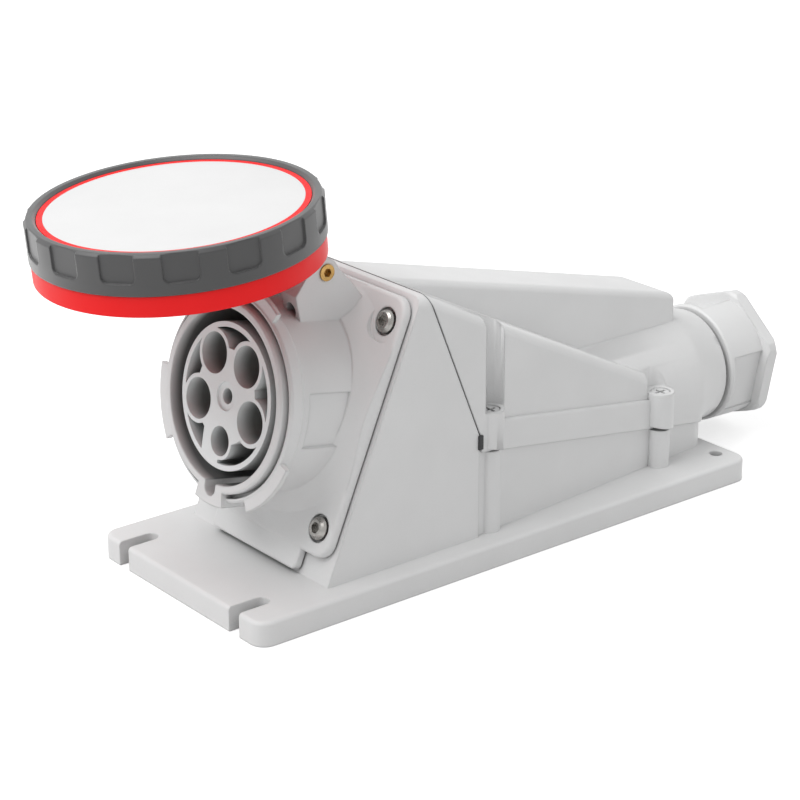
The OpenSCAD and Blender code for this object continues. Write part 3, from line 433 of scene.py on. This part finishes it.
def moulded_plastic(
    name, colour, radius, roughness,
    grain=1500, grain_depth=0.00003, gloss=0.42, sheen=0.0, shaft=None, underside=None,
):
    """Moulded plastic: faint flow clouds, an eroded grain, edges paler with painted highlight and wear,
    and painted shade in recesses
    """
    material, tree, shader = start_material(name)
    rounded = rounded_normal(tree, radius)
    clouds = spread(tree, noise(tree, CLOUD_SCALE, detail=3), 0, 1)
    body = blend_colours(tree, clouds, *(shade(colour, factor) for factor in CLOUD_SHADES))
    speckle = spread(tree, noise(tree, SPECKLE_SCALE, detail=1), 0, SPECKLE_SHARE, *SPECKLE_SPAN)
    body = blend_colours(tree, speckle, body, shade(colour, SPECKLE_SHADE))
    # Paler edges: partly painted highlight, partly wear
    edges = spread(tree, edge_share(tree, rounded), 0, EDGE_SHARE, 0, 1)
    body = blend_colours(tree, edges, body, shade(colour, EDGE_HIGHLIGHT_AND_WEAR))
    # Painted shade: the colour darkens deep in gaps and pockets, where shade falls
    body = blend_colours(tree, recess_share(tree), body, shade(colour, PAINTED_RECESS_SHADE))
    # Painted shade: darker with depth inside the collar's bore
    if shaft:
        body = blend_colours(tree, shaft_share(tree, *shaft), body, shade(colour, PAINTED_RECESS_SHADE))
    # Painted shade on faces that look down
    if underside:
        body = blend_colours(tree, underside_share(tree), body, shade(colour, underside))
    tree.links.new(body, shader.inputs["Base Color"])
    patches = noise(tree, PATCH_SCALE)
    patches = spread(tree, patches, roughness - PLASTIC_STRAY, roughness + PLASTIC_STRAY)
    tree.links.new(patches, shader.inputs["Roughness"])
    shader.inputs["Specular IOR Level"].default_value = gloss
    shader.inputs["Sheen Weight"].default_value = sheen
    waves = noise(tree, WAVE_SCALE, detail=1)
    grains = noise(tree, grain, roughness=0.6)
    bump(tree, shader, rounded, (waves, *WAVE_RELIEF), (grains, GRAIN_STRENGTH, grain_depth))
    return material


def housing_plastic(look):
    """Pale plastic of the housing"""
    return moulded_plastic("housing_plastic", look.colour, look.edge_radius, look.roughness)


def collar_plastic(look):
    """Housing plastic with painted shade that darkens it inside the collar"""
    return moulded_plastic(
        "collar_plastic", look.colour, look.edge_radius, look.roughness, shaft=COLLAR_SHAFT_SHADE
    )


def insert_plastic(look):
    """Paler, finer plastic with painted shade that darkens it down the wells"""
    return moulded_plastic(
        "insert_plastic", look.insert_colour, look.fine_edge_radius, roughness=0.5,
        grain=2200, grain_depth=0.00002, shaft=INSERT_SHAFT_SHADE,
    )


def lid_red_plastic(look):
    """Red plastic of the cap and the band, with painted shade on its underside"""
    return moulded_plastic(
        "lid_red_plastic", look.colour, look.edge_radius, roughness=0.4,
        grain=1800, grain_depth=0.00002, gloss=0.2, underside=LID_UNDERSIDE_PAINTED_SHADE,
    )


def ring_grey_plastic(look):
    """Grey plastic of the bayonet ring, with softer edges and a faint sheen"""
    return moulded_plastic(
        "ring_grey_plastic", look.ring_colour, 2 * look.edge_radius, roughness=0.4,
        grain=1100, grain_depth=0.00002, gloss=0.5, sheen=0.4,
    )


def disc_white_foil(look):
    """White foil of the disc, with crisp edges"""
    return moulded_plastic(
        "disc_white_foil", look.disc_colour, look.edge_radius / 3, roughness=0.4,
        grain=2600, grain_depth=0.00001,
    )


def seal_rubber(look):
    """Black rubber with a dusty bloom"""
    material, tree, shader = start_material("seal_rubber")
    bloom = spread(tree, noise(tree, BLOOM_SCALE, detail=4), 0, 1)
    body = blend_colours(tree, bloom, tuple(look.rubber_colour), shade(look.rubber_colour, BLOOM_SHADE))
    tree.links.new(body, shader.inputs["Base Color"])
    patches = spread(tree, noise(tree, RUBBER_PATCH_SCALE, detail=3), *RUBBER_ROUGHNESS)
    tree.links.new(patches, shader.inputs["Roughness"])
    rounded = rounded_normal(tree, look.edge_radius)
    bump(tree, shader, rounded, (noise(tree, RUBBER_GRAIN), *RUBBER_RELIEF))
    return material


def turned_metal(name, colour, dull_shade, radius, roughness):
    """Metal with fine turning marks, patches of dulled surface and painted shade in the recesses"""
    material, tree, shader = start_material(name)
    shader.inputs["Metallic"].default_value = 1.0
    dull = shade(colour, dull_shade)
    stain = spread(tree, noise(tree, STAIN_SCALE, detail=4), 0, 1, *STAIN_SPAN)
    body = blend_colours(tree, stain, tuple(colour), dull)
    # Painted shade: the dulled colour darkens in the recesses
    body = blend_colours(tree, recess_share(tree), body, shade(dull, PAINTED_RECESS_SHADE))
    tree.links.new(body, shader.inputs["Base Color"])
    patches = noise(tree, METAL_PATCH_SCALE, detail=3)
    patches = spread(tree, patches, *(roughness + stray for stray in METAL_STRAY))
    tree.links.new(patches, shader.inputs["Roughness"])
    marks = noise(tree, TURNING_SCALE, roughness=0.6, stretch=TURNING_STRETCH)
    bump(tree, shader, rounded_normal(tree, radius), (marks, *TURNING_RELIEF))
    return material


def contact_brass(look):
    """Brass of the contacts and the hinge pin"""
    return turned_metal(
        "contact_brass", look.brass_colour, BRASS_DULL_SHADE, look.edge_radius, roughness=0.3
    )


def screw_steel(look):
    """Stainless steel of the screws"""
    return turned_metal(
        "screw_steel", look.steel_colour, STEEL_DULL_SHADE, look.edge_radius, roughness=0.28
    )


def finish(maker, look):
    """The finish that a maker gives, made once under the maker's name"""
    return bpy.data.materials.get(maker.__name__) or maker(look)


# Forms


def new_object(name, data):
    """Object in the scene that holds a mesh, a lamp or a camera"""
    item = bpy.data.objects.new(name, data)
    bpy.context.scene.collection.objects.link(item)
    return item


def smooth_mesh(bm, name):
    """Finished form as a smooth mesh"""
    mesh = bpy.data.meshes.new(name)
    bm.to_mesh(mesh)
    bm.free()
    mesh.shade_smooth()
    return mesh


def on_rim_top(ends):
    """Whether an edge lies on the sloping top of the cover's rim"""
    return all(abs(p.z - RIM_FRONT[1] + (p.y - RIM_FRONT[0]) * RIM_FALL) < SNAP for p in ends)


def on_tunnel_roof(ends):
    """Whether an edge bounds the tunnel's roof, apart from the roof's front at the seam"""
    in_roof = all(abs(p.z - TUNNEL_REAR[1] - (TUNNEL_REAR[0] - p.y) * TUNNEL_FALL) < SNAP for p in ends)
    at_side = all(abs(abs(p.x) - TUNNEL_HALF_W) < SNAP for p in ends)
    return in_roof and at_side and max(p.y for p in ends) > TUNNEL_REAR[0] - SNAP


def is_outer_corner(edge):
    """Whether an edge stands out between two faces that meet at a clear angle"""
    return len(edge.link_faces) == 2 and edge.is_convex and edge.calc_face_angle(0) > CORNER_ANGLE


def eased_copy(node, name, roundings):
    """Copy of a solid with rounded corners; a rounding is a test of an edge's ends and a radius"""
    bm = bmesh.new()
    bm.from_mesh(frame["nodes"][node].data)
    bmesh.ops.remove_doubles(bm, verts=bm.verts, dist=WELD)
    bmesh.ops.dissolve_limit(
        bm, angle_limit=FLAT_ANGLE, use_dissolve_boundaries=False, verts=bm.verts, edges=bm.edges
    )
    for wanted, radius in roundings:
        edges = [e for e in bm.edges if is_outer_corner(e) and wanted([v.co for v in e.verts])]
        bmesh.ops.bevel(
            bm, geom=edges, offset=radius, offset_type="OFFSET", segments=ROUNDING_STEPS, profile=0.5,
            affect="EDGES", clamp_overlap=False, loop_slide=True,
        )
    mesh = smooth_mesh(bm, name)
    mesh.set_sharp_from_angle(angle=CORNER_ANGLE)
    piece = new_object(name, mesh)
    normals = piece.modifiers.new("even_normals", "WEIGHTED_NORMAL")
    normals.weight = LARGE_FACE_WEIGHT
    normals.keep_sharp = True
    return piece


def rounded_block(bm, centre, size, radius):
    """Adds a block with rounded edges to a form"""
    made = bmesh.ops.create_cube(bm, size=1)
    for vert in made["verts"]:
        vert.co = Vector(centre) + Vector(c * s for c, s in zip(vert.co, size))
    edges = {edge for vert in made["verts"] for edge in vert.link_edges}
    bmesh.ops.bevel(
        bm, geom=list(edges), offset=radius, offset_type="OFFSET", segments=SEAM_END_STEPS, profile=0.5,
        affect="EDGES",
    )


def seam_ends():
    """Ends of the rubber gasket at the foot of the seam, one on each side: black blocks that also stand in
    for the shade in the seam's slot
    """
    bm = bmesh.new()
    for side in (1, -1):
        rounded_block(bm, (side * SEAM_END[0], *SEAM_END[1:]), SEAM_END_SIZE, SEAM_END_RADIUS)
    return new_object("gasket_ends_slot_shade", smooth_mesh(bm, "gasket_ends_slot_shade"))


def paint(slot, material, *nodes):
    """Gives solids that keep their own shape a finish"""
    for node in nodes:
        solid = frame["nodes"][node]
        for entry in solid.material_slots:
            entry.material = material


# Operators, one for each piece or group of like pieces


class SOCKET_OT_base(bpy.types.Operator):
    """Base moulding: plate, leaning frame and low walls"""

    bl_idname = "socket.base"
    bl_label = "Base"

    def execute(self, context):
        paint("housing", finish(housing_plastic, context.scene.socket_housing), "base")
        return {"FINISHED"}


class SOCKET_OT_rear_cover(bpy.types.Operator):
    """Sloping cover with its tunnel, rim, bosses and gland neck, and its four screws"""

    bl_idname = "socket.rear_cover"
    bl_label = "Rear cover"

    def execute(self, context):
        look = context.scene.socket_housing
        plastic = finish(housing_plastic, look)
        roundings = ((on_rim_top, look.rim_radius), (on_tunnel_roof, look.tunnel_radius))
        cover = eased_copy("rear_cover", "cover_moulding", roundings)
        cover.data.materials.append(plastic)
        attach(cover, "housing")
        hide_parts("rear_cover")
        paint("housing", plastic, "cover_screws")
        return {"FINISHED"}


class SOCKET_OT_flange(bpy.types.Operator):
    """Flange with the collar, its bayonet lugs and the hinge lugs, and its four steel screws"""

    bl_idname = "socket.flange"
    bl_label = "Flange and collar"

    def execute(self, context):
        paint("housing", finish(collar_plastic, context.scene.socket_housing), "socket_flange")
        paint("steel", finish(screw_steel, context.scene.socket_trim), "flange_screws")
        return {"FINISHED"}


class SOCKET_OT_insert(bpy.types.Operator):
    """Contact insert and the ring that holds it"""

    bl_idname = "socket.insert"
    bl_label = "Contact insert"

    def execute(self, context):
        plastic = finish(insert_plastic, context.scene.socket_housing)
        paint("insert", plastic, "contact_insert", "insert_retainer")
        return {"FINISHED"}


class SOCKET_OT_contacts(bpy.types.Operator):
    """Turned contacts and their clamp screws"""

    bl_idname = "socket.contacts"
    bl_label = "Contacts"

    def execute(self, context):
        look = context.scene.socket_trim
        contacts = sorted(node for node in frame["nodes"] if "_contact" in node)
        paint("brass", finish(contact_brass, look), *contacts)
        paint("steel", finish(screw_steel, look), "terminal_screws")
        return {"FINISHED"}


class SOCKET_OT_gland(bpy.types.Operator):
    """Gland nut, pressure washer and rubber seal"""

    bl_idname = "socket.gland"
    bl_label = "Cable gland"

    def execute(self, context):
        plastic = finish(housing_plastic, context.scene.socket_housing)
        paint("housing", plastic, "gland_nut", "gland_washer")
        paint("rubber", finish(seal_rubber, context.scene.socket_trim), "gland_seal")
        return {"FINISHED"}


class SOCKET_OT_gaskets(bpy.types.Operator):
    """Rubber gaskets under the cover, behind the flange and in the lid"""

    bl_idname = "socket.gaskets"
    bl_label = "Gaskets"

    def execute(self, context):
        rubber = finish(seal_rubber, context.scene.socket_trim)
        paint("rubber", rubber, "cover_gasket", "flange_gasket", "lid_gasket")
        # Black rubber ends at the seam's foot, standing in for the shade in its slot
        ends = seam_ends()
        ends.data.materials.append(rubber)
        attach(ends, "housing")
        return {"FINISHED"}


class SOCKET_OT_lid(bpy.types.Operator):
    """Red cap and band with the white disc"""

    bl_idname = "socket.lid"
    bl_label = "Lid"

    def execute(self, context):
        look = context.scene.socket_lid
        paint("lid_red", finish(lid_red_plastic, look), "lid_cap", "lid_band")
        paint("disc_white", finish(disc_white_foil, look), "lid_disc")
        return {"FINISHED"}


class SOCKET_OT_bayonet_ring(bpy.types.Operator):
    """Grey bayonet ring with finger scallops"""

    bl_idname = "socket.bayonet_ring"
    bl_label = "Bayonet ring"

    def execute(self, context):
        paint("ring_grey", finish(ring_grey_plastic, context.scene.socket_lid), "bayonet_ring")
        return {"FINISHED"}


class SOCKET_OT_hinge(bpy.types.Operator):
    """Brass hinge pin and black friction washers"""

    bl_idname = "socket.hinge"
    bl_label = "Hinge"

    def execute(self, context):
        look = context.scene.socket_trim
        paint("brass", finish(contact_brass, look), "hinge_pin")
        paint("rubber", finish(seal_rubber, look), "hinge_washers")
        return {"FINISHED"}


# Stage


def shows_plainly(tree):
    """One for the rays that show the background itself: seen, mirrored or looked through"""
    rays = tree.nodes.new("ShaderNodeLightPath")
    total = rays.outputs["Is Camera Ray"]
    for name in ("Is Glossy Ray", "Is Transmission Ray"):
        total = combine(tree, "MAXIMUM", total, rays.outputs[name])
    return total


def white_sky(level):
    """World of even light that shows white behind the object"""
    world = bpy.data.worlds.new("studio_sky")
    world.use_nodes = True
    tree = world.node_tree
    sky = next(n for n in tree.nodes if n.type == "BACKGROUND")
    sky.inputs["Color"].default_value = (1, 1, 1, 1)
    strength = spread(tree, shows_plainly(tree), level, 1, 0, 1)
    tree.links.new(strength, sky.inputs["Strength"])
    bpy.context.scene.world = world


def floor_paint(colour):
    """Matt pale floor whose seen side is lifted to white and keeps the shadow"""
    material, tree, shader = start_material("studio_floor")
    mottle = spread(tree, noise(tree, FLOOR_MOTTLE_SCALE, detail=3), 0, 1)
    body = blend_colours(tree, mottle, *(shade(colour, factor) for factor in FLOOR_SHADES))
    tree.links.new(body, shader.inputs["Base Color"])
    shader.inputs["Roughness"].default_value = 1.0
    shader.inputs["Specular IOR Level"].default_value = 0.0
    shader.inputs["Emission Color"].default_value = (1, 1, 1, 1)
    lift = spread(tree, shows_plainly(tree), 0, FLOOR_LIFT, 0, 1)
    tree.links.new(lift, shader.inputs["Emission Strength"])
    return material


def lay_floor(colour):
    """Wide floor just under the object"""
    corners = [(x * FLOOR_REACH, y * FLOOR_REACH, 0) for x, y in ((-1, -1), (1, -1), (1, 1), (-1, 1))]
    mesh = bpy.data.meshes.new("floor")
    mesh.from_pydata(corners, [], [(0, 1, 2, 3)])
    mesh.materials.append(floor_paint(colour))
    floor = new_object("floor", mesh)
    floor.location.z = CAD_BOX[0][2] - FLOOR_DROP


def set_camera(look):
    """Camera at its place and angle"""
    data = bpy.data.cameras.new("studio_camera")
    data.lens = look.lens
    data.sensor_width = SENSOR_W
    data.clip_end = CLIP_END
    camera = new_object("studio_camera", data)
    camera.location = look.camera_place
    camera.rotation_euler = (math.pi / 2 - look.elevation, 0, look.azimuth)
    bpy.context.scene.camera = camera


def hang_lamp(name, place, target, size, power):
    """Square soft lamp that faces a point"""
    data = bpy.data.lights.new(name, "AREA")
    data.shape = "SQUARE"
    data.size = size
    data.energy = power
    lamp = new_object(name, data)
    lamp.location = place
    lamp.rotation_euler = (Vector(target) - Vector(place)).to_track_quat("-Z", "Y").to_euler()


class SOCKET_OT_stage(bpy.types.Operator):
    """Camera, soft lamps, even sky and a plain pale floor"""

    bl_idname = "socket.stage"
    bl_label = "Stage"

    def execute(self, context):
        look = context.scene.socket_studio
        context.scene.view_settings.view_transform = "Standard"
        set_camera(look)
        lay_floor(look.floor_colour)
        centre = (Vector(CAD_BOX[0]) + Vector(CAD_BOX[1])) / 2
        hang_lamp("key_lamp", centre + Vector(KEY_OFFSET), centre, KEY_SIZE, look.key_power)
        across = Vector((math.cos(look.azimuth), math.sin(look.azimuth), 0))
        right = centre + SIDE_DISTANCE * across + Vector((0, 0, SIDE_HEIGHT))
        hang_lamp("right_lamp", right, centre, SIDE_SIZE, look.side_power)
        white_sky(look.sky_level)
        return {"FINISHED"}


class SOCKET_PT_panel(bpy.types.Panel):
    """Lists the pieces, the stage and their looks"""

    bl_label = "Angled socket"
    bl_idname = "SOCKET_PT_panel"
    bl_space_type = "VIEW_3D"
    bl_region_type = "UI"
    bl_category = "Socket"

    def draw(self, context):
        for step in STEPS:
            self.layout.operator(step.bl_idname)
        for name in LOOKS:
            look = getattr(context.scene, name)
            box = self.layout.box()
            for item in look.__annotations__:
                box.prop(look, item)


LOOKS = {
    "socket_housing": HousingLook,
    "socket_lid": LidLook,
    "socket_trim": TrimLook,
    "socket_studio": StudioLook,
}
STEPS = (
    SOCKET_OT_base,
    SOCKET_OT_rear_cover,
    SOCKET_OT_flange,
    SOCKET_OT_insert,
    SOCKET_OT_contacts,
    SOCKET_OT_gland,
    SOCKET_OT_gaskets,
    SOCKET_OT_lid,
    SOCKET_OT_bayonet_ring,
    SOCKET_OT_hinge,
    SOCKET_OT_stage,
)
CLASSES = (*LOOKS.values(), *STEPS, SOCKET_PT_panel)


def register():
    for cls in CLASSES:
        bpy.utils.register_class(cls)
    for name, group in LOOKS.items():
        setattr(bpy.types.Scene, name, PointerProperty(type=group))


def unregister():
    for name in LOOKS:
        delattr(bpy.types.Scene, name)
    for cls in reversed(CLASSES):
        bpy.utils.unregister_class(cls)


def main():
    register()
    for step in STEPS:
        group, name = step.bl_idname.split(".")
        getattr(getattr(bpy.ops, group), name)()


if __name__ == "__main__":
    main()
